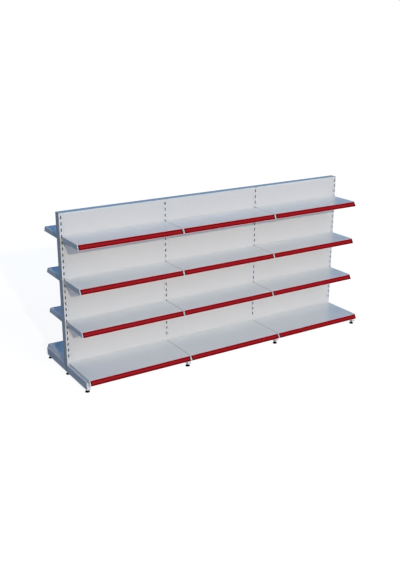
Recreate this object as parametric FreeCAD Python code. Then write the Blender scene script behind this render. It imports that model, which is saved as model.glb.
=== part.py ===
import FreeCAD, Part
import math
import os

Vector = FreeCAD.Vector

# Double-sided gondola shelving. Millimetres, +Z up, X along the run of bays,
# front at -Y, origin on the floor under the middle of the run.

# Run of bays
bay_count = 3
bay_pitch = 914.0           # between the centre lines of two uprights
floor_gap = 26.0            # underside of uprights and legs above the floor
over_cut = 1.0              # cutting shapes run this far past the face they open

# Slotted upright: rectangular tube, one column of slots on each narrow face
upright_height = 1330.0
upright_width = 32.0
upright_depth = 68.0
upright_wall = 2.0
upright_corner = 3.0
slot_play = 0.7             # beside the two brackets that share a slot
slot_height = 26.0
slot_pitch = 50.0
lowest_slot_rise = 149.0    # centre of the lowest shelf slot above the upright's foot
top_margin = 30.0           # least tube above the centre of the highest slot
sole_plate = 5.0            # closes the tube at the bottom and takes the levelling foot

# Hooks that enter the upright: tongue through the wall, lip down behind it
tongue_height = 10.0
lip_drop = 6.5
lip_thickness = 3.0
lip_gap = 0.4
joint_gap = 0.4             # hooked piece to the upright's outer face

# Upright cap
cap_thickness = 3.0
cap_plug = 14.0
cap_corner = 2.0
cap_fit = 0.3

# Base leg: tube with a hook plate at the upright and a plug in its front end
leg_height = 64.0
leg_wall = 2.0
leg_cap = 2.5
leg_cap_plug = 12.0
leg_pad = 4.0               # thicker floor of the leg that takes the levelling foot
leg_pad_half = 12.0
leg_setback = 16.0          # front end behind the base shelf's front edge
leg_plate = 5.0
leg_plate_length = 46.0
leg_slot_side = 1.0         # play beside the hook plate
leg_slot_room = 1.5         # free height over a hook in its slot
leg_hook_room = 1.5         # lower hook's lip above the upright's sole plate
leg_slot_pitch = 26.0
leg_hook_count = 2

# Levelling foot: stud with a spanner hexagon, moulded into a pad
stud_diameter = 10.0
stud_facets = 8
stud_fit = 0.3
stud_top = 54.0
hex_flats = 17.0
hex_height = 6.0
pad_diameter = 38.0
pad_facets = 12
pad_rim = 5.0
pad_neck = 24.0
pad_height = 11.0
foot_inset = 30.0           # foot behind the front end of the leg

# Tie members between uprights: base beam below, top rail above
tie_sheet = 1.5
tie_plate = 2.0
tie_plate_half = 15.0
tie_plate_height = 46.0
tie_hook_width = 6.0
tie_slot_side = 1.5         # play beside the hook
tie_slot_room = 5.5         # free height over a hook in its slot
tie_seat_rise = 10.0        # hook seat above the lower edge of the end plate
rail_lip = 14.0
beam_rise = 14.0            # underside of the beam above the uprights' feet
beam_lip = 30.0

# Back panels
panel_sheet = 1.0
panel_return = 12.0
panel_side_gap = 0.8
panel_lip_gap = 0.3         # panel face behind the lips of rail and beam
panel_lift = 8.0            # room above the panel to lift it out of the beam

# Shelf trays
tray_sheet = 1.0
tray_end_gap = 1.0          # tray end to the upright's centre line
tray_rear_gap = 2.0         # tray to the upright's face
shelf_depth = 287.0         # upright's face to the front edge of an upper shelf
base_depth = 393.0
nose_drop = 40.0
nose_lean = 21.0            # foot of the sloping nose ahead of its top
nose_lip = 12.0
rear_flange = 16.0
rear_notch_room = 2.0       # rear flange to the bracket that passes it
base_end_flange = 20.0
stiffener_width = 46.0
stiffener_height = 14.0
stiffener_end_gap = 8.0
shelf_levels = ["top", "middle", "lower"]
free_slot_count = 3         # slots above the one that carries the top shelf

# Shelf bracket: plate inside the tray's end flange
bracket_sheet = 2.0
bracket_fit = 0.3           # bracket to the tray's end flange
bracket_height = 38.0
bracket_setback = 10.0      # bracket end behind the shelf's front edge
bracket_tip = 22.0
bracket_taper = 45.0
hook_drop = 12.0            # seat of the upper hook below the bracket's top edge
heel_length = 55.0
heel_cover = 2.0            # heel below the seat of the lower hook

# Ticket strip: channel with two lips, on the sloping nose
strip_depth = 3.5
strip_wall = 1.2
strip_lip = 5.0
strip_height = 43.0
strip_margin = 1.2          # bare nose above the strip
strip_inset = 5.0           # strip end to tray end
strip_gap = 0.2

# Derived places
upright_x = [(index - bay_count / 2) * bay_pitch for index in range(bay_count + 1)]
half_width = upright_width / 2
half_depth = upright_depth / 2
lowest_slot = floor_gap + lowest_slot_rise
upright_top = floor_gap + upright_height
slot_count = 1 + math.floor((upright_height - lowest_slot_rise - top_margin) / slot_pitch)
level_slot_count = (slot_count - free_slot_count) // len(shelf_levels)
top_shelf_slot = slot_count - 1 - free_slot_count
shelf_slots = {level: top_shelf_slot - step * level_slot_count for step, level in enumerate(shelf_levels)}
bracket_offset = tray_end_gap + tray_sheet + bracket_fit
slot_half = bracket_offset + bracket_sheet + slot_play
rear_notch = bracket_fit + bracket_sheet + rear_notch_room
hook_height = tongue_height + lip_drop
rail_top = upright_top + cap_thickness
beam_bottom = floor_gap + beam_rise
rail_seat = rail_top - tie_plate_height + tie_seat_rise
beam_seat = beam_bottom + tie_seat_rise
leg_top = floor_gap + leg_height
leg_front = half_depth + base_depth - leg_setback
foot_reach = leg_front - foot_inset
lowest_leg_seat = floor_gap + sole_plate + leg_hook_room + lip_drop
leg_seats = [lowest_leg_seat + step * leg_slot_pitch for step in range(leg_hook_count)]
nose_length = math.hypot(nose_lean, nose_drop)
sides = {"front": -1, "rear": 1}


def slot_seat(index):
    return lowest_slot + index * slot_pitch - slot_height / 2


def box(x_low, x_high, y_low, y_high, z_low, z_high):
    corner = Vector(x_low, y_low, z_low)
    return Part.makeBox(x_high - x_low, y_high - y_low, z_high - z_low, corner)


def prism_x(outline, side, x_low, x_high):
    # Outline of (reach from the centre plane, height), swept along the run
    points = [Vector(x_low, side * reach, z) for reach, z in outline]
    face = Part.Face(Part.makePolygon(points + points[:1]))
    return face.extrude(Vector(x_high - x_low, 0, 0))


def prism_y(outline, x_origin, direction, half_thickness):
    # Outline of (distance from x_origin, height), swept across the run
    points = [Vector(x_origin + direction * run, -half_thickness, z) for run, z in outline]
    face = Part.Face(Part.makePolygon(points + points[:1]))
    return face.extrude(Vector(0, 2 * half_thickness, 0))


def centred_box(width, depth, x, z_low, z_high):
    return box(x - width / 2, x + width / 2, -depth / 2, depth / 2, z_low, z_high)


def ring(facets, flats, x, y, z):
    # Closed regular outline of a turned piece, measured across its flats
    radius = flats / 2 / math.cos(math.pi / facets)
    turns = [2 * math.pi * step / facets for step in range(facets)]
    points = [Vector(x + radius * math.cos(turn), y + radius * math.sin(turn), z) for turn in turns]
    return Part.makePolygon(points + points[:1])


def bar(facets, flats, x, y, z_low, z_high):
    return Part.Face(ring(facets, flats, x, y, z_low)).extrude(Vector(0, 0, z_high - z_low))


def plate_outline(width, depth, corner, x, z):
    # Rectangle with its corners cut off
    across = width / 2
    along = depth / 2
    corners = [(across, corner - along), (across, along - corner), (across - corner, along)]
    corners += [(corner - across, along), (-across, along - corner), (-across, corner - along)]
    corners += [(corner - across, -along), (across - corner, -along)]
    points = [Vector(x + run, reach, z) for run, reach in corners]
    return Part.Face(Part.makePolygon(points + points[:1]))


def hook(half, seat):
    # Corners of one hook on an upright whose outer face lies at half from its centre
    plate = half + joint_gap
    lip_front = half - upright_wall - lip_gap
    lip_back = lip_front - lip_thickness
    return [
        (plate, seat),
        (lip_front, seat),
        (lip_front, seat - lip_drop),
        (lip_back, seat - lip_drop),
        (lip_back, seat + tongue_height),
        (plate, seat + tongue_height),
    ]


def foot_places():
    return [(x, y) for x in upright_x for y in (-foot_reach, 0.0, foot_reach)]


def stud_hole(x, y, z_low, z_high):
    return bar(stud_facets, stud_diameter + 2 * stud_fit, x, y, z_low, z_high)


def make_upright(index):
    x = upright_x[index]
    bore_low = floor_gap + sole_plate
    tube = centred_box(upright_width, upright_depth, x, floor_gap, upright_top)
    long_edges = [edge for edge in tube.Edges if edge.Length > upright_depth + upright_width]
    tube = tube.makeFillet(upright_corner, long_edges)
    bore_width = upright_width - 2 * upright_wall
    bore_depth = upright_depth - 2 * upright_wall
    tube = tube.cut(centred_box(bore_width, bore_depth, x, bore_low, upright_top + over_cut))
    cutters = [stud_hole(x, 0, floor_gap - over_cut, bore_low + over_cut)]
    leg_half = leg_plate / 2 + leg_slot_side
    leg_slot_height = hook_height + leg_slot_room
    for side in sides.values():
        walls = sorted([side * (half_depth - upright_wall - over_cut), side * (half_depth + over_cut)])
        for step in range(slot_count):
            seat = slot_seat(step)
            cutters.append(box(x - slot_half, x + slot_half, *walls, seat, seat + slot_height))
        for seat in leg_seats:
            cutters.append(box(x - leg_half, x + leg_half, *walls, seat, seat + leg_slot_height))
    tie_half = tie_hook_width / 2 + tie_slot_side
    tie_slot_height = hook_height + tie_slot_room
    wall_reach = [half_width - upright_wall - over_cut, half_width + over_cut]
    for neighbour in (index - 1, index + 1):
        if 0 <= neighbour <= bay_count:
            direction = neighbour - index
            walls = sorted(x + direction * reach for reach in wall_reach)
            for seat in (rail_seat, beam_seat):
                cutters.append(box(*walls, -tie_half, tie_half, seat, seat + tie_slot_height))
    return tube.cut(Part.makeCompound(cutters))


def make_cap(x):
    plug_width = upright_width - 2 * upright_wall - 2 * cap_fit
    plug_depth = upright_depth - 2 * upright_wall - 2 * cap_fit
    outline = plate_outline(upright_width, upright_depth, cap_corner, x, upright_top)
    head = outline.extrude(Vector(0, 0, cap_thickness))
    return head.fuse(centred_box(plug_width, plug_depth, x, upright_top - cap_plug, upright_top))


def make_leg(x, side):
    rear = half_depth + joint_gap
    front = leg_front - leg_cap
    inner_low = floor_gap + leg_wall
    inner_high = leg_top - leg_wall
    pad_low = floor_gap + leg_pad
    outer = [(rear, floor_gap), (front, floor_gap), (front, leg_top), (rear, leg_top)]
    open_rear = rear - over_cut
    open_front = front + over_cut
    pad_rear = foot_reach - leg_pad_half
    pad_front = foot_reach + leg_pad_half
    inner = [(open_rear, inner_low), (pad_rear, inner_low), (pad_rear, pad_low)]
    inner += [(pad_front, pad_low), (pad_front, inner_low)]
    inner += [(open_front, inner_low), (open_front, inner_high), (open_rear, inner_high)]
    tube = prism_x(outer, side, x - half_width, x + half_width)
    tube = tube.cut(prism_x(inner, side, x - half_width + leg_wall, x + half_width - leg_wall))
    plate = [(rear, inner_low)]
    for seat in leg_seats:
        plate += hook(half_depth, seat)
    plate_front = rear + leg_plate_length
    plate += [(rear, inner_high), (plate_front, inner_high), (plate_front, inner_low)]
    tube = tube.fuse(prism_x(plate, side, x - leg_plate / 2, x + leg_plate / 2))
    hole = stud_hole(x, side * foot_reach, floor_gap - over_cut, pad_low + over_cut)
    return tube.cut(hole).removeSplitter()


def make_leg_cap(x, side):
    front = leg_front - leg_cap
    plug_end = front - leg_cap_plug
    low = floor_gap + leg_wall + cap_fit
    high = leg_top - leg_wall - cap_fit
    half = half_width - leg_wall - cap_fit
    head = [(front, floor_gap), (leg_front, floor_gap), (leg_front, leg_top), (front, leg_top)]
    plug = [(plug_end, low), (front, low), (front, high), (plug_end, high)]
    return prism_x(head, side, x - half_width, x + half_width).fuse(prism_x(plug, side, x - half, x + half))


def make_foot(x, y):
    rim = bar(pad_facets, pad_diameter, x, y, 0, pad_rim)
    wide = ring(pad_facets, pad_diameter, x, y, pad_rim)
    neck = ring(pad_facets, pad_neck, x, y, pad_height)
    foot = rim.fuse(Part.makeLoft([wide, neck], True, True))
    hex_top = pad_height + hex_height
    foot = foot.fuse(bar(6, hex_flats, x, y, pad_height, hex_top))
    return foot.fuse(bar(stud_facets, stud_diameter, x, y, hex_top, stud_top))


def make_tie(bay, channel, plate_low, seat):
    # Channel between two uprights, with a hooked plate at each end
    reach = half_width + joint_gap
    ends = [(upright_x[bay], 1), (upright_x[bay + 1], -1)]
    tie = prism_x(channel, 1, ends[0][0] + reach, ends[1][0] - reach)
    for x, direction in ends:
        x_range = sorted([x + direction * reach, x + direction * (reach + tie_plate)])
        plate = box(*x_range, -tie_plate_half, tie_plate_half, plate_low, plate_low + tie_plate_height)
        outline = hook(half_width, seat)
        outline = [(reach + tie_plate, seat)] + outline + [(reach + tie_plate, seat + tongue_height)]
        tie = tie.fuse(plate).fuse(prism_y(outline, x, direction, tie_hook_width / 2))
    return tie.removeSplitter()


def make_rail(bay):
    inner = half_depth - tie_sheet
    under = rail_top - tie_sheet
    low = rail_top - rail_lip
    channel = [(-half_depth, low), (-half_depth, rail_top), (half_depth, rail_top), (half_depth, low)]
    channel += [(inner, low), (inner, under), (-inner, under), (-inner, low)]
    return make_tie(bay, channel, rail_top - tie_plate_height, rail_seat)


def make_beam(bay):
    inner = half_depth - tie_sheet
    floor = beam_bottom + tie_sheet
    high = beam_bottom + beam_lip
    channel = [(-half_depth, high), (-half_depth, beam_bottom)]
    channel += [(half_depth, beam_bottom), (half_depth, high)]
    channel += [(inner, high), (inner, floor), (-inner, floor), (-inner, high)]
    return make_tie(bay, channel, beam_bottom, beam_seat)


def make_panel(bay, side):
    # Shallow pan with its open side towards the middle of the run
    x_low = upright_x[bay] + half_width + panel_side_gap
    x_high = upright_x[bay + 1] - half_width - panel_side_gap
    face = half_depth - tie_sheet - panel_lip_gap
    back = face - panel_return
    low = beam_bottom + tie_sheet
    high = rail_top - tie_sheet - panel_lift
    pan = prism_x([(face, low), (face, high), (back, high), (back, low)], side, x_low, x_high)
    inside = [
        (face - panel_sheet, low + panel_sheet),
        (face - panel_sheet, high - panel_sheet),
        (back - over_cut, high - panel_sheet),
        (back - over_cut, low + panel_sheet),
    ]
    return pan.cut(prism_x(inside, side, x_low + panel_sheet, x_high - panel_sheet))


def nose_reach(front, top, z, offset):
    # Reach of the nose's outer face at height z, moved outwards by offset
    return front + (top - z) * nose_lean / nose_drop + offset * nose_length / nose_drop


def make_tray(bay, side, top, depth, end_flange):
    x_low = upright_x[bay] + tray_end_gap
    x_high = upright_x[bay + 1] - tray_end_gap
    rear = half_depth + tray_rear_gap
    front = half_depth + depth
    low = top - nose_drop
    under = top - tray_sheet
    lip_top = low + tray_sheet
    lip_end = front + nose_lean - nose_lip
    open_low = low - over_cut
    open_rear = rear - over_cut
    outer = [(rear, top), (front, top), (front + nose_lean, low), (rear, low)]
    inner = [
        (rear + tray_sheet, under),
        (nose_reach(front, top, under, -tray_sheet), under),
        (nose_reach(front, top, lip_top, -tray_sheet), lip_top),
        (lip_end, lip_top),
        (lip_end, open_low),
        (rear + tray_sheet, open_low),
    ]
    tray = prism_x(outer, side, x_low, x_high)
    tray = tray.cut(prism_x(inner, side, x_low + tray_sheet, x_high - tray_sheet))
    middle = (rear + front) / 2
    channel_low = under - stiffener_height
    channel = [
        (middle - stiffener_width / 2, under),
        (middle - stiffener_width / 2, channel_low),
        (middle + stiffener_width / 2, channel_low),
        (middle + stiffener_width / 2, under),
        (middle + stiffener_width / 2 - tray_sheet, under),
        (middle + stiffener_width / 2 - tray_sheet, channel_low + tray_sheet),
        (middle - stiffener_width / 2 + tray_sheet, channel_low + tray_sheet),
        (middle - stiffener_width / 2 + tray_sheet, under),
    ]
    tray = tray.fuse(prism_x(channel, side, x_low + stiffener_end_gap, x_high - stiffener_end_gap))
    wall = [(open_rear, open_low), (rear + tray_sheet, open_low)]
    flange = wall + [(rear + tray_sheet, top - rear_flange), (open_rear, top - rear_flange)]
    notch = wall + [(rear + tray_sheet, under), (open_rear, under)]
    inside_low = x_low + tray_sheet
    inside_high = x_high - tray_sheet
    cutters = [
        prism_x(flange, side, inside_low, inside_high),
        prism_x(notch, side, inside_low, inside_low + rear_notch),
        prism_x(notch, side, inside_high - rear_notch, inside_high),
    ]
    if end_flange < nose_drop:
        # The end flanges stop on the legs, and run full height only ahead of them
        ahead = leg_front + tray_rear_gap
        step = top - end_flange
        below = [(open_rear, open_low), (ahead, open_low), (ahead, step), (open_rear, step)]
        cutters.append(prism_x(below, side, x_low - over_cut, x_high + over_cut))
    return tray.cut(Part.makeCompound(cutters)).removeSplitter()


def make_strip(bay, side, top, depth):
    # Channel outline along the slope of the nose: run down the slope, rise off it
    front = half_depth + depth
    outline = [
        (0, 0),
        (0, strip_depth),
        (strip_lip, strip_depth),
        (strip_lip, strip_depth - strip_wall),
        (strip_wall, strip_depth - strip_wall),
        (strip_wall, strip_wall),
        (strip_height - strip_wall, strip_wall),
        (strip_height - strip_wall, strip_depth - strip_wall),
        (strip_height - strip_lip, strip_depth - strip_wall),
        (strip_height - strip_lip, strip_depth),
        (strip_height, strip_depth),
        (strip_height, 0),
    ]
    lean = nose_lean / nose_length
    drop = nose_drop / nose_length
    placed = []
    for run, rise in outline:
        along = strip_margin + run
        off = strip_gap + rise
        placed.append((front + along * lean + off * drop, top - along * drop + off * lean))
    x_low = upright_x[bay] + tray_end_gap + strip_inset
    x_high = upright_x[bay + 1] - tray_end_gap - strip_inset
    return prism_x(placed, side, x_low, x_high)


def make_brackets(bay, side, slot):
    upper_seat = slot_seat(slot)
    lower_seat = slot_seat(slot - 1)
    top = upper_seat + hook_drop
    low = top - bracket_height
    rear = half_depth + joint_gap
    front = half_depth + shelf_depth - bracket_setback
    outline = [
        (front, top),
        (front, top - bracket_tip),
        (front - bracket_taper, low),
        (rear + heel_length, low),
        (rear, lower_seat - heel_cover),
    ]
    outline += hook(half_depth, lower_seat) + hook(half_depth, upper_seat) + [(rear, top)]
    x_left = upright_x[bay] + bracket_offset
    x_right = upright_x[bay + 1] - bracket_offset
    return [
        prism_x(outline, side, x_left, x_left + bracket_sheet),
        prism_x(outline, side, x_right - bracket_sheet, x_right),
    ]


def save(name, solids):
    shape = solids[0] if len(solids) == 1 else Part.makeCompound(solids)
    shape.exportStep(f"parts/{name}.step")


def main():
    os.makedirs("parts", exist_ok=True)
    bays = range(bay_count)
    for index in range(bay_count + 1):
        save(f"upright_{index + 1}", [make_upright(index)])
    save("upright_caps", [make_cap(x) for x in upright_x])
    save("base_legs", [make_leg(x, side) for x in upright_x for side in sides.values()])
    save("leg_end_caps", [make_leg_cap(x, side) for x in upright_x for side in sides.values()])
    save("levelling_feet", [make_foot(x, y) for x, y in foot_places()])
    save("base_beams", [make_beam(bay) for bay in bays])
    save("top_rails", [make_rail(bay) for bay in bays])
    save("back_panels", [make_panel(bay, side) for bay in bays for side in sides.values()])
    brackets = []
    base_top = leg_top + base_end_flange
    for side_name, side in sides.items():
        for bay in bays:
            place = f"{side_name}_bay_{bay + 1}"
            save(f"base_shelf_{place}", [make_tray(bay, side, base_top, base_depth, base_end_flange)])
            save(f"base_ticket_strip_{place}", [make_strip(bay, side, base_top, base_depth)])
            for level, slot in shelf_slots.items():
                top = slot_seat(slot) + hook_drop + tray_sheet
                save(f"{level}_shelf_{place}", [make_tray(bay, side, top, shelf_depth, nose_drop)])
                save(f"{level}_ticket_strip_{place}", [make_strip(bay, side, top, shelf_depth)])
                brackets += make_brackets(bay, side, slot)
    save("shelf_brackets", brackets)


main()
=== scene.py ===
import math

import bmesh
import bpy
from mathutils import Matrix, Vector


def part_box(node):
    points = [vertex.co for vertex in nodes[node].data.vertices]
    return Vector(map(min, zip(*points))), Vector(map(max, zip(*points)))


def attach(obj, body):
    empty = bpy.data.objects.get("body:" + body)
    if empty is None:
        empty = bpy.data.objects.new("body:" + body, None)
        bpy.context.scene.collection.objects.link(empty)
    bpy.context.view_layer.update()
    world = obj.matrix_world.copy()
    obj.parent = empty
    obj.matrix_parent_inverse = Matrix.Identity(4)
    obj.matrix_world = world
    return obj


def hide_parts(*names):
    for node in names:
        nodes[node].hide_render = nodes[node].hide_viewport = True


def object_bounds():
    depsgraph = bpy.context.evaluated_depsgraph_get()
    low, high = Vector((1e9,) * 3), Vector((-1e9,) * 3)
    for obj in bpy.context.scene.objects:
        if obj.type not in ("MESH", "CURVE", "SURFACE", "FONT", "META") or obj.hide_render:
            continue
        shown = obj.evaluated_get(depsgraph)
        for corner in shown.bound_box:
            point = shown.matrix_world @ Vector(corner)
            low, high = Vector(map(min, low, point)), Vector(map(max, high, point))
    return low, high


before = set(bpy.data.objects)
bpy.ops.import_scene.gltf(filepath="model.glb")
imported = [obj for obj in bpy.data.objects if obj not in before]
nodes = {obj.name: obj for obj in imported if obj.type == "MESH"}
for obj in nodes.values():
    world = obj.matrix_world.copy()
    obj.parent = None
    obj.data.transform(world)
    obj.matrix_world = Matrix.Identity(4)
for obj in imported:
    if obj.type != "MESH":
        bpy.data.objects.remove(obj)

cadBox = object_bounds()
scene = bpy.context.scene


def middleOf(name):
    low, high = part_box(name)
    return (low + high) / 2


bayPitch = middleOf("upright_2").x - middleOf("upright_1").x
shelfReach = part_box("top_shelf_rear_bay_1")[1].y
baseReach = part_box("base_shelf_rear_bay_1")[1].y
stripStart, stripEnd = [corner.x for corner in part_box("base_ticket_strip_front_bay_1")]
print("bays of %.3f m, trays reach %.3f and %.3f m" % (bayPitch, shelfReach, baseReach))


class Wire:
    # one socket of a node tree, so that shader maths reads as plain expressions
    def __init__(self, tree, socket=None):
        self.tree = tree
        self.socket = socket

    def node(self, kind, settings, sockets, output=0):
        made = self.tree.nodes.new(kind)
        for name, value in settings.items():
            setattr(made, name, value)
        for key, value in sockets.items():
            self.feed(made.inputs[key], value)
        return Wire(self.tree, made.outputs[output])

    def feed(self, target, value):
        if isinstance(value, Wire):
            self.tree.links.new(value.socket, target)
        else:
            target.default_value = value

    def out(self, key):
        return Wire(self.tree, self.socket.node.outputs[key])

    def math(self, operation, first, second=0.0):
        return self.node("ShaderNodeMath", {"operation": operation}, {0: first, 1: second})

    def __add__(self, other):
        return self.math("ADD", self, other)

    def __radd__(self, other):
        return self.math("ADD", other, self)

    def __sub__(self, other):
        return self.math("SUBTRACT", self, other)

    def __rsub__(self, other):
        return self.math("SUBTRACT", other, self)

    def __mul__(self, other):
        return self.math("MULTIPLY", self, other)

    def __rmul__(self, other):
        return self.math("MULTIPLY", other, self)

    def __truediv__(self, other):
        return self.math("DIVIDE", self, other)

    def __rtruediv__(self, other):
        return self.math("DIVIDE", other, self)

    def __abs__(self):
        return self.math("ABSOLUTE", self)


# Octaves of noise: few for moulded grain, more for wear and dirt
grainDetail = 1.0
softDetail = 2.0
wearDetail = 3.0
dirtDetail = 4.0


def startFinish(name):
    material = bpy.data.materials.new(name)
    material.use_nodes = True
    return material, Wire(material.node_tree)


def endFinish(wire, sockets):
    shader = wire.tree.nodes["Principled BSDF"]
    for key, value in sockets.items():
        wire.feed(shader.inputs[key], value)


def startStage(name):
    # a stage material starts with no paint shader
    material, wire = startFinish(name)
    wire.tree.nodes.remove(wire.tree.nodes["Principled BSDF"])
    return material, wire


def endStage(wire, shader):
    wire.feed(wire.tree.nodes["Material Output"].inputs["Surface"], shader)


def ownPlace(wire):
    return wire.node("ShaderNodeTexCoord", {}, {}, "Object")


def axes(wire, place):
    apart = wire.node("ShaderNodeSeparateXYZ", {}, {"Vector": place}, "X")
    return apart, apart.out("Y"), apart.out("Z")


def cloud(wire, place, scale, detail):
    return wire.node("ShaderNodeTexNoise", {}, {"Vector": place, "Scale": scale, "Detail": detail})


def streaks(wire, place, grain, detail):
    # clouds drawn out along the axis with the smallest number
    drawn = wire.node("ShaderNodeMapping", {}, {"Vector": place, "Scale": grain})
    return cloud(wire, drawn, 1.0, detail)


def between(wire, value, low, high):
    # 0 below low, 1 above high, straight in between
    return wire.node("ShaderNodeMapRange", {}, {"Value": value, "From Min": low, "From Max": high})


def blendColours(wire, share, first, second):
    return wire.node("ShaderNodeMix", {"data_type": "RGBA"}, {0: share, 6: first, 7: second}, 2)


def shade(colour, factor=1.0):
    return tuple(part * factor for part in colour) + (1.0,)


def uneven(wire, tone, colour, spread):
    # a little darker and lighter from place to place
    return blendColours(wire, tone, shade(colour, 1 - spread), shade(colour, 1 + spread))


def besideBayLine(wire, x):
    # metres from the nearest line through an upright's middle
    return abs(wire.math("FRACT", x / bayPitch) - 0.5) * bayPitch


def dents(wire, height, strength, distance):
    sockets = {"Strength": strength, "Distance": distance, "Height": height}
    return wire.node("ShaderNodeBump", {}, sockets)


# Powder coat on the back panels
panelPaint = {
    "colour": (0.522, 0.522, 0.521),
    "toneSpread": 0.025,
    "toneScale": 2.2,
    "roughness": 0.42,
    "wipeGrain": (9.0, 9.0, 1.5),
    "wipeSpread": 0.10,
    "peelScale": 900.0,
    "peelStrength": 0.5,
    "peelDepth": 0.00004,
    "shine": 0.35,
}


def panelFinish(look):
    material, wire = startFinish("panelPaint")
    place = ownPlace(wire)
    tone = cloud(wire, place, look["toneScale"], wearDetail)
    wiped = streaks(wire, place, look["wipeGrain"], dirtDetail)
    peel = cloud(wire, place, look["peelScale"], softDetail)
    endFinish(wire, {
        "Base Color": uneven(wire, tone, look["colour"], look["toneSpread"]),
        "Roughness": look["roughness"] + (wiped - 0.5) * look["wipeSpread"],
        "Specular IOR Level": look["shine"],
        "Normal": dents(wire, peel, look["peelStrength"], look["peelDepth"]),
    })
    return material


# Gloss powder coat on the trays, dragged over by goods from front to back
shelfPaint = {
    "colour": (0.795, 0.815, 0.83),
    "toneSpread": 0.02,
    "toneScale": 3.0,
    "roughness": 0.012,
    "roughSpread": 0.012,
    "scuffGrain": (260.0, 7.0, 40.0),
    "scuffRange": (0.55, 0.75),
    "scuffRoughness": 0.10,
    "scuffTone": 0.05,
    "patchScale": 6.0,
    "patchRange": (0.45, 0.70),
    "seamShadeTone": (0.20, 0.21, 0.23),
    "seamShadeShare": 0.75,
    "seamShadeRange": (0.0018, 0.0034),
    "seamShadeFade": 0.1,  # metres outwards from the middle of the end bays, whose far ends have no seam
    "edgeWearHighlightTone": (0.84, 0.85, 0.86),
    "edgeWearHighlightShare": 0.5,
    "edgeWidth": 0.0035,
    "edgeGrain": (40.0, 1.0, 1.0),
    "noseLean": 0.021,
    "baseBelow": (0.20, 0.30),
    "peelScale": 700.0,
    "peelStrength": 0.4,
    "peelDepth": 0.00001,
    "shine": 0.6,
}


def shelfFinish(look):
    material, wire = startFinish("shelfPaint")
    place = ownPlace(wire)
    x, y, z = axes(wire, place)
    tone = cloud(wire, place, look["toneScale"], wearDetail)
    paint = uneven(wire, tone, look["colour"], look["toneSpread"])
    dragged = between(wire, streaks(wire, place, look["scuffGrain"], wearDetail), *look["scuffRange"])
    patches = between(wire, cloud(wire, place, look["patchScale"], softDetail), *look["patchRange"])
    scuffs = dragged * patches
    coat = blendColours(wire, scuffs, paint, shade(look["colour"], 1 - look["scuffTone"]))
    # painted shade darkens the seams between trays
    inner = 1 - between(wire, abs(x), bayPitch, bayPitch + look["seamShadeFade"])
    seam = 1 - between(wire, besideBayLine(wire, x), *look["seamShadeRange"])
    coat = blendColours(wire, inner * seam * look["seamShadeShare"], coat, shade(look["seamShadeTone"]))
    # hands and goods rub the front edge pale, and a painted highlight lightens it too
    upper = between(wire, z, *look["baseBelow"])
    reach = baseReach - upper * (baseReach - shelfReach) - look["noseLean"]
    edge = 1 - between(wire, abs(abs(y) - reach), 0.0, look["edgeWidth"])
    rubbed = edge * streaks(wire, place, look["edgeGrain"], wearDetail) * look["edgeWearHighlightShare"]
    peel = cloud(wire, place, look["peelScale"], softDetail)
    endFinish(wire, {
        "Base Color": blendColours(wire, rubbed, coat, shade(look["edgeWearHighlightTone"])),
        "Roughness": look["roughness"] + scuffs * look["scuffRoughness"] + tone * look["roughSpread"],
        "Specular IOR Level": look["shine"],
        "Normal": dents(wire, peel, look["peelStrength"], look["peelDepth"]),
    })
    return material


# Semi-gloss powder coat on uprights, beams and brackets
framePaint = {
    "colour": (0.595, 0.605, 0.62),
    "toneSpread": 0.03,
    "toneScale": 4.0,
    "roughness": 0.25,
    "kickTone": (0.30, 0.30, 0.31),
    "kickRange": (0.03, 0.085),
    "kickGrain": (60.0, 14.0, 60.0),
    "kickMarks": (0.56, 0.70),
    "kickShare": 0.45,
    "kickRoughness": 0.3,
    "rubTone": (0.40, 0.40, 0.41),
    "rubShare": 0.55,
    "rubScale": 260.0,
    "rubReach": 0.010,
    "rubPolish": 0.2,
    "slotPitch": 0.050,
    "lowestSeat": 0.162,
    "slotAcross": (0.006, 0.011),
    "slotFace": (0.0322, 0.0338, 0.0345, 0.0355),
    "scrapeShare": 0.40,
    "cornerTone": (0.72, 0.73, 0.74),
    "cornerShare": 0.5,
    "cornerAcross": (0.0143, 0.0158),
    "cornerDeep": (0.0322, 0.0338),
    "cornerGrain": (1.0, 1.0, 18.0),
    "cornerPatches": (0.45, 0.65),
    "hollowTone": (0.66, 0.67, 0.68),
    "hollowAcross": (0.0141, 0.0149),
    "hollowDeep": (0.0321, 0.0329),
    "peelScale": 800.0,
    "peelStrength": 0.5,
    "peelDepth": 0.00003,
    "shine": 0.35,
}


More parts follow.
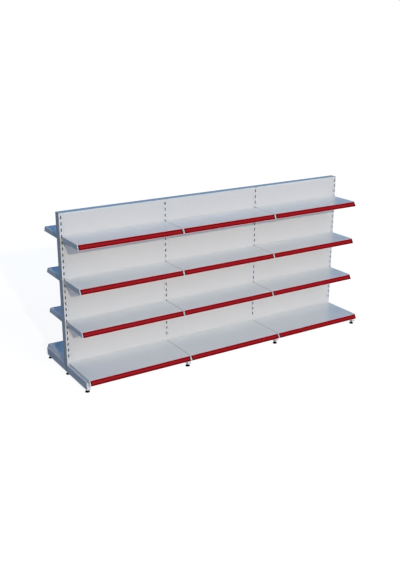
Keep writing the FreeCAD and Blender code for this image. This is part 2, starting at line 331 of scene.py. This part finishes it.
def frameFinish(name, look):
    material, wire = startFinish(name)
    place = ownPlace(wire)
    x, y, z = axes(wire, place)
    besideLine = besideBayLine(wire, x)
    deep = abs(y)
    tone = cloud(wire, place, look["toneScale"], wearDetail)
    coat = uneven(wire, tone, look["colour"], look["toneSpread"])
    # shoes and mops leave marks low down
    low = 1 - between(wire, z, *look["kickRange"])
    marks = between(wire, streaks(wire, place, look["kickGrain"], dirtDetail), *look["kickMarks"])
    kicked = low * marks * look["kickShare"]
    coat = blendColours(wire, kicked, coat, shade(look["kickTone"]))
    # hooks scrape a line down the column of slots
    nearSlot = 1 - between(wire, besideLine, *look["slotAcross"])
    faceStart, faceFull, faceLast, faceEnd = look["slotFace"]
    onFace = between(wire, deep, faceStart, faceFull) * (1 - between(wire, deep, faceLast, faceEnd))
    coat = blendColours(wire, onFace * nearSlot * look["scrapeShare"], coat, shade(look["rubTone"]))
    # trolleys and hands rub the corners of the uprights
    corner = between(wire, besideLine, *look["cornerAcross"]) * between(wire, deep, *look["cornerDeep"])
    patches = streaks(wire, place, look["cornerGrain"], wearDetail)
    bare = corner * between(wire, patches, *look["cornerPatches"])
    coat = blendColours(wire, bare * look["cornerShare"], coat, shade(look["cornerTone"]))
    # bare zinc shows inside the tubes, where the spray hardly reaches
    hollow = 1 - between(wire, besideLine, *look["hollowAcross"])
    hollow = hollow * (1 - between(wire, deep, *look["hollowDeep"]))
    coat = blendColours(wire, hollow, coat, shade(look["hollowTone"]))
    # hooks polish the sill of each slot
    rise = wire.math("FRACT", (z - look["lowestSeat"]) / look["slotPitch"]) * look["slotPitch"]
    sill = between(wire, rise, look["slotPitch"] - look["rubReach"], look["slotPitch"])
    rubbed = sill * nearSlot * cloud(wire, place, look["rubScale"], wearDetail) * look["rubShare"]
    peel = cloud(wire, place, look["peelScale"], softDetail)
    endFinish(wire, {
        "Base Color": blendColours(wire, rubbed, coat, shade(look["rubTone"])),
        "Roughness": look["roughness"] + kicked * look["kickRoughness"] - rubbed * look["rubPolish"],
        "Specular IOR Level": look["shine"],
        "Normal": dents(wire, peel, look["peelStrength"], look["peelDepth"]),
    })
    return material


# The top rails' coat is a darker, cooler copy of the frame paint, painted shade with a painted cool
# reflection, and the legs' a lighter, bluer copy, painted light with a painted cool reflection
railShadePaint = dict(framePaint, colour=(0.51, 0.55, 0.555))
legLitPaint = dict(framePaint, colour=(0.71, 0.76, 0.85))

# Extruded ticket channel: painted highlight on the lips, painted shade in the grooves behind them and at
# the cut ends
stripPlastic = {
    "colour": (0.295, 0.0026, 0.0066),
    "toneSpread": 0.07,
    "mottleGrain": (6.0, 40.0, 40.0),
    "lipHighlightColour": (0.68, 0.012, 0.024),
    "topLipHighlight": (0.060, 0.105),  # rims and grooves in shares of the strip's height
    "lowLipHighlight": (0.085, 0.140),
    "paintedShadeColour": (0.022, 0.0004, 0.0012),
    "grooveShadeRange": (0.240, 0.330),
    "endShadeRange": (0.006, 0.012),  # metres
    "dustTone": (0.020, 0.022, 0.028),
    "dustFacing": (0.60, 0.80),
    "roughness": 0.32,
    "drawLines": (0.4, 900.0, 900.0),
    "lineRoughness": 0.12,
    "lineStrength": 0.4,
    "lineDepth": 0.00003,
    "shine": 0.10,
}


def stripFinish(look):
    material, wire = startFinish("stripPlastic")
    place = ownPlace(wire)
    share = axes(wire, wire.node("ShaderNodeTexCoord", {}, {}, "Generated"))
    along, rise = share[0], share[2]
    mottle = streaks(wire, place, look["mottleGrain"], wearDetail)
    body = uneven(wire, mottle, look["colour"], look["toneSpread"])
    # painted shade in the grooves behind the lips and at the cut ends
    groove = 1 - between(wire, 0.5 - abs(rise - 0.5), *look["grooveShadeRange"])
    fromEnd = (0.5 - abs(along - 0.5)) * (stripEnd - stripStart)
    cutEnd = 1 - between(wire, fromEnd, *look["endShadeRange"])
    dark = wire.math("MAXIMUM", groove, cutEnd)
    coat = blendColours(wire, dark, body, shade(look["paintedShadeColour"]))
    # painted highlight along both lips, wider along the lower one, on which tickets stand
    topLipHighlight = 1 - between(wire, 1 - rise, *look["topLipHighlight"])
    lowLipHighlight = 1 - between(wire, rise, *look["lowLipHighlight"])
    coat = blendColours(wire, wire.math("MAXIMUM", topLipHighlight, lowLipHighlight), coat, shade(look["lipHighlightColour"]))
    # dust packs along the top, between strip and tray
    facingUp = axes(wire, wire.node("ShaderNodeTexCoord", {}, {}, "Normal"))[2]
    dust = between(wire, facingUp, *look["dustFacing"])
    lines = streaks(wire, place, look["drawLines"], softDetail)
    endFinish(wire, {
        "Base Color": blendColours(wire, dust, coat, shade(look["dustTone"])),
        "Roughness": look["roughness"] + lines * look["lineRoughness"],
        "Specular IOR Level": look["shine"],
        "Normal": dents(wire, lines, look["lineStrength"], look["lineDepth"]),
    })
    return material


# Moulded caps in the legs
capPlastic = {
    "colour": (0.60, 0.61, 0.63),
    "toneSpread": 0.04,
    "toneScale": 30.0,
    "roughness": 0.45,
    "grainScale": 1600.0,
    "grainRoughness": 0.12,
    "grainStrength": 0.5,
    "grainDepth": 0.00006,
    "shine": 0.4,
}


def capFinish(name, look):
    material, wire = startFinish(name)
    place = ownPlace(wire)
    tone = cloud(wire, place, look["toneScale"], softDetail)
    grain = cloud(wire, place, look["grainScale"], grainDetail)
    endFinish(wire, {
        "Base Color": uneven(wire, tone, look["colour"], look["toneSpread"]),
        "Roughness": look["roughness"] + grain * look["grainRoughness"],
        "Specular IOR Level": look["shine"],
        "Normal": dents(wire, grain, look["grainStrength"], look["grainDepth"]),
    })
    return material


# Caps on the uprights match the rails: a darker, cooler copy of the cap plastic, painted shade with a
# painted cool reflection
topCapShadePlastic = dict(capPlastic, colour=(0.42, 0.47, 0.50))

# Black rubbery plastic of the feet's pads, dusty near the floor
padPlastic = {
    "colour": (0.004, 0.004, 0.0045),
    "dustColour": (0.018, 0.0175, 0.0165),
    "dustRise": (0.0, 0.006),
    "dustScale": 180.0,
    "dustPatches": (0.4, 0.7),
    "dustRoughness": 0.25,
    "roughness": 0.7,
    "grainScale": 1500.0,
    "grainStrength": 0.4,
    "grainDepth": 0.00005,
    "shine": 0.08,
}


def padFinish(look):
    material, wire = startFinish("footPad")
    place = ownPlace(wire)
    z = axes(wire, place)[2]
    patches = between(wire, cloud(wire, place, look["dustScale"], wearDetail), *look["dustPatches"])
    dust = (1 - between(wire, z, *look["dustRise"])) * patches
    grain = cloud(wire, place, look["grainScale"], grainDetail)
    endFinish(wire, {
        "Base Color": blendColours(wire, dust, shade(look["colour"]), shade(look["dustColour"])),
        "Roughness": look["roughness"] + dust * look["dustRoughness"],
        "Specular IOR Level": look["shine"],
        "Normal": dents(wire, grain, look["grainStrength"], look["grainDepth"]),
    })
    return material


# Plated steel of the feet's studs, painted near black as shade
studSteel = {
    "colour": (0.045, 0.045, 0.048),
    "tarnish": (0.75, 1.1),
    "tarnishScale": 220.0,
    "roughness": 0.32,
    "tarnishRoughness": 0.2,
}


def studFinish(look):
    material, wire = startFinish("footStud")
    tarnish = cloud(wire, ownPlace(wire), look["tarnishScale"], wearDetail)
    darkest, palest = [shade(look["colour"], factor) for factor in look["tarnish"]]
    endFinish(wire, {
        "Base Color": blendColours(wire, tarnish, darkest, palest),
        "Roughness": look["roughness"] + tarnish * look["tarnishRoughness"],
        "Metallic": 1.0,
    })
    return material


finishes = {
    "panel": panelFinish(panelPaint),
    "shelf": shelfFinish(shelfPaint),
    "frame": frameFinish("framePaint", framePaint),
    "rail": frameFinish("railShadePaint", railShadePaint),
    "leg": frameFinish("legLitPaint", legLitPaint),
    "strip": stripFinish(stripPlastic),
    "cap": capFinish("capPlastic", capPlastic),
    "topCap": capFinish("topCapShadePlastic", topCapShadePlastic),
    "pad": padFinish(padPlastic),
    "stud": studFinish(studSteel),
}
print("finishes: %d" % len(finishes))

# Nodes with a finish of their own. Strips and trays go by their names, and the rest is frame
finishOf = {
    "back_panels": "panel",
    "top_rails": "rail",
    "base_legs": "leg",
    "upright_caps": "topCap",
    "leg_end_caps": "cap",
}


def finishFor(name):
    if "ticket_strip" in name:
        return "strip"
    if "_shelf_" in name:
        return "shelf"
    return finishOf.get(name, "frame")


def dressNode(name):
    part = nodes[name]
    part.data.materials.clear()
    part.data.materials.append(finishes[finishFor(name)])


for nodeName in sorted(nodes):
    dressNode(nodeName)
print("painted the CAD nodes")


# Levelling feet: moulded pad, spanner hexagon and threaded stud
feet = {
    "frames": 4,
    "legInset": 0.030,
    "padProfile": [(0.0172, 0.0), (0.0186, 0.0004), (0.0190, 0.0013), (0.0190, 0.0040), (0.0186, 0.0050),
                   (0.0165, 0.0068), (0.0142, 0.0088), (0.0124, 0.0105), (0.0117, 0.0110)],
    "padFacets": 40,
    "hexSides": 6,
    "hexFlats": 0.0168,
    "hexRange": (0.0110, 0.0170),
    "hexChamfer": 0.0009,
    "studRadius": 0.0050,
    "studRange": (0.0165, 0.0540),
    "studFacets": 20,
    "threadPitch": 0.0015,
    "threadDepth": 0.0007,
    "threadTop": 0.0290,
    "ringsPerTurn": 4,
    "flatArea": 0.00002,  # square metres: larger faces of the steel stay flat
}
padSlot, steelSlot = 0, 1


def lathe(mesh, rings, slot):
    # closed skin through rings of points, capped at both ends
    loops = [[mesh.verts.new(point) for point in ring] for ring in rings]
    count = len(rings[0])
    faces = [mesh.faces.new(list(reversed(loops[0]))), mesh.faces.new(loops[-1])]
    for lower, upper in zip(loops, loops[1:]):
        for step in range(count):
            after = (step + 1) % count
            faces.append(mesh.faces.new([lower[step], lower[after], upper[after], upper[step]]))
    for face in faces:
        face.material_index = slot
        face.smooth = len(face.verts) == 4


def ringAt(centre, radius, z, count):
    x, y = centre
    turns = [2 * math.pi * step / count for step in range(count)]
    return [Vector((x + radius * math.cos(turn), y + radius * math.sin(turn), z)) for turn in turns]


def threadRing(look, centre, z):
    x, y = centre
    count = look["studFacets"]
    ring = []
    for step in range(count):
        phase = (z / look["threadPitch"] - step / count) % 1.0
        groove = look["threadDepth"] * abs(2 * phase - 1)
        turn = 2 * math.pi * step / count
        radius = look["studRadius"] - groove
        ring.append(Vector((x + radius * math.cos(turn), y + radius * math.sin(turn), z)))
    return ring


def addPad(mesh, look, centre):
    lathe(mesh, [ringAt(centre, radius, z, look["padFacets"]) for radius, z in look["padProfile"]], padSlot)


def addHexagon(mesh, look, centre):
    sides = look["hexSides"]
    corner = look["hexFlats"] / 2 / math.cos(math.pi / sides)
    low, high = look["hexRange"]
    cut = look["hexChamfer"]
    profile = [(corner, low), (corner, high - cut), (corner - cut, high)]
    lathe(mesh, [ringAt(centre, radius, z, sides) for radius, z in profile], steelSlot)


def addStud(mesh, look, centre):
    low, high = look["studRange"]
    threadStep = look["threadPitch"] / look["ringsPerTurn"]
    threadCount = int((look["threadTop"] - low) / threadStep)
    rings = [threadRing(look, centre, low + step * threadStep) for step in range(threadCount + 1)]
    plain = look["studRadius"] - look["threadDepth"]
    rings.append(ringAt(centre, plain, high, look["studFacets"]))
    lathe(mesh, rings, steelSlot)


def flattenSteel(mesh, look):
    for face in mesh.faces:
        steelSide = len(face.verts) == 4 and face.material_index == steelSlot
        if steelSide and face.calc_area() > look["flatArea"]:
            face.smooth = False


def makeFeet(look):
    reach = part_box("leg_end_caps")[1].y - look["legInset"]
    mesh = bmesh.new()
    for index in range(look["frames"]):
        x = middleOf("upright_%d" % (index + 1)).x
        for y in (-reach, 0.0, reach):
            addPad(mesh, look, (x, y))
            addHexagon(mesh, look, (x, y))
            addStud(mesh, look, (x, y))
    flattenSteel(mesh, look)
    data = bpy.data.meshes.new("levellingFeet")
    mesh.to_mesh(data)
    mesh.free()
    piece = bpy.data.objects.new("levellingFeet", data)
    scene.collection.objects.link(piece)
    data.materials.append(finishes["pad"])
    data.materials.append(finishes["stud"])
    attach(piece, "feet")
    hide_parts("levelling_feet")


makeFeet(feet)
print("feet turned")


# A warm key, a level and a raised front light, a level back light, a weak top light and a dim cool room.
# The gloss paint mirrors a glowing cool card behind on the right, a painted sky reflection, and a dark grey
# mat on the floor behind on the left, a painted dark reflection
lights = {
    "keyTowards": (-0.141, -0.93, 0.347),
    "keyStrength": 1.58,
    "keyAngle": 1.2,
    "keyColour": (1.0, 0.85, 0.67),
    "lowTowards": (0.308, -0.947, 0.087),
    "lowStrength": 1.14,
    "lowAngle": 14.0,
    "lowColour": (0.89, 0.895, 1.0),
    "frontTowards": (0.268, -0.824, 0.50),
    "frontStrength": 0.94,
    "frontAngle": 30.0,
    "frontColour": (0.676, 0.85, 1.0),
    "backTowards": (0.30, 0.95, 0.012),
    "backStrength": 3.1,
    "backAngle": 2.5,
    "backColour": (0.93, 0.965, 0.94),
    "skyTowards": (0.05, -0.20, 0.98),
    "skyStrength": 0.31,
    "skyAngle": 30.0,
    "skyColour": (0.93, 0.82, 0.855),
    "roomColour": (0.011, 0.080, 0.180),
    "cardMiddle": (5.2, 8.0, 3.8),
    "cardSize": (12.5, 6.6),
    "cardColour": (0.028, 0.23, 0.67),
    "cardFarColour": (0.11, 0.26, 0.48),
    "cardFade": (2.0, 9.0),
    "matNear": (-1.40, -0.60),
    "matFar": (-9.0, 9.0),
    "matLift": 0.0004,
    "matColour": (0.13, 0.20, 0.31),
}


def addSun(name, look):
    data = bpy.data.lights.new(name, "SUN")
    data.energy = look[name + "Strength"]
    data.angle = math.radians(look[name + "Angle"])
    data.color = look[name + "Colour"]
    lamp = bpy.data.objects.new(name, data)
    scene.collection.objects.link(lamp)
    lamp.rotation_euler = Vector(look[name + "Towards"]).to_track_quat("Z", "Y").to_euler()
    return lamp


def flatSheet(name, corners, finish):
    mesh = bmesh.new()
    mesh.faces.new([mesh.verts.new(corner) for corner in corners])
    data = bpy.data.meshes.new(name)
    mesh.to_mesh(data)
    mesh.free()
    data.materials.append(finish)
    sheet = bpy.data.objects.new(name, data)
    scene.collection.objects.link(sheet)
    return sheet


def onlyMirrored(sheet):
    sheet.visible_camera = False
    sheet.visible_diffuse = False
    sheet.visible_shadow = False


# a glowing card seen only in reflections: painted cool sky reflection
def addCoolCard(look):
    material, wire = startStage("coolCard")
    far = between(wire, axes(wire, ownPlace(wire))[0], *look["cardFade"])
    colour = blendColours(wire, far, shade(look["cardColour"]), shade(look["cardFarColour"]))
    endStage(wire, wire.node("ShaderNodeEmission", {}, {"Color": colour}))
    x, y, z = look["cardMiddle"]
    across, rise = [size / 2 for size in look["cardSize"]]
    left, right, low, high = x - across, x + across, z - rise, z + rise
    corners = [(left, y, low), (left, y, high), (right, y, high), (right, y, low)]
    onlyMirrored(flatSheet("coolCard", corners, material))


# a dark sheet seen only in reflections: painted dark reflection
def addGreyMat(look):
    material, wire = startStage("greyMat")
    endStage(wire, wire.node("ShaderNodeEmission", {}, {"Color": shade(look["matColour"])}))
    nearX, nearY = look["matNear"]
    farX, farY = look["matFar"]
    z = cadBox[0].z + look["matLift"]
    corners = [(nearX, nearY, z), (nearX, farY, z), (farX, farY, z), (farX, nearY, z)]
    onlyMirrored(flatSheet("greyMat", corners, material))


def seenDirectly(wire):
    # 1 for the camera and for mirror and glass rays, 0 for light that only fills
    path = wire.node("ShaderNodeLightPath", {}, {}, "Is Camera Ray")
    mirrored = wire.math("MAXIMUM", path.out("Is Glossy Ray"), path.out("Is Transmission Ray"))
    return wire.math("MAXIMUM", path, mirrored)


def makeRoom(look):
    world = bpy.data.worlds.new("whiteRoom")
    world.use_nodes = True
    scene.world = world
    wire = Wire(world.node_tree)
    white = (1.0, 1.0, 1.0, 1.0)
    colour = blendColours(wire, seenDirectly(wire), shade(look["roomColour"]), white)
    wire.feed(world.node_tree.nodes["Background"].inputs["Color"], colour)


addSun("key", lights)
for softLight in ("low", "front", "back", "sky"):
    addSun(softLight, lights).visible_glossy = False  # it fills, and leaves no glare on the paint
addCoolCard(lights)
addGreyMat(lights)
makeRoom(lights)
print("lights set")


# White floor that keeps a faint shadow
floor = {
    "half": 60.0,
    "gap": 0.0004,
    "glow": 0.90,
    "shadowTone": 0.25,
    "bounceTone": 0.46,
}


def floorFinish(look):
    material, wire = startStage("whiteFloor")
    bounce = wire.node("ShaderNodeBsdfDiffuse", {}, {"Color": shade((1, 1, 1), look["bounceTone"])})
    shadow = wire.node("ShaderNodeBsdfDiffuse", {}, {"Color": shade((1, 1, 1), look["shadowTone"])})
    glow = wire.node("ShaderNodeEmission", {}, {"Strength": look["glow"]})
    shown = wire.node("ShaderNodeAddShader", {}, {0: shadow, 1: glow})
    endStage(wire, wire.node("ShaderNodeMixShader", {}, {0: seenDirectly(wire), 1: bounce, 2: shown}))
    return material


def makeFloor(look):
    half = look["half"]
    z = cadBox[0].z - look["gap"]
    corners = [(-half, -half, z), (half, -half, z), (half, half, z), (-half, half, z)]
    flatSheet("whiteFloor", corners, floorFinish(look))


makeFloor(floor)
print("floor laid")


# Camera at the photograph's place: metres, radians, and pixels of a 400 by 570 picture
view = {
    "place": (-3.5299, -5.4997, 2.7565),
    "yaw": 0.558,
    "pitch": 0.3293,
    "focalPixels": 778.29,
    "pictureHeight": 570,
    "sensor": 36.0,
}


def makeCamera(look):
    data = bpy.data.cameras.new("camera")
    data.sensor_width = look["sensor"]  # the longer side of the picture, here its height
    data.lens = look["focalPixels"] * look["sensor"] / look["pictureHeight"]
    camera = bpy.data.objects.new("camera", data)
    scene.collection.objects.link(camera)
    camera.location = look["place"]
    camera.rotation_euler = (math.pi / 2 - look["pitch"], 0.0, -look["yaw"])
    scene.camera = camera


makeCamera(view)
scene.view_settings.view_transform = "Standard"
print("camera placed")
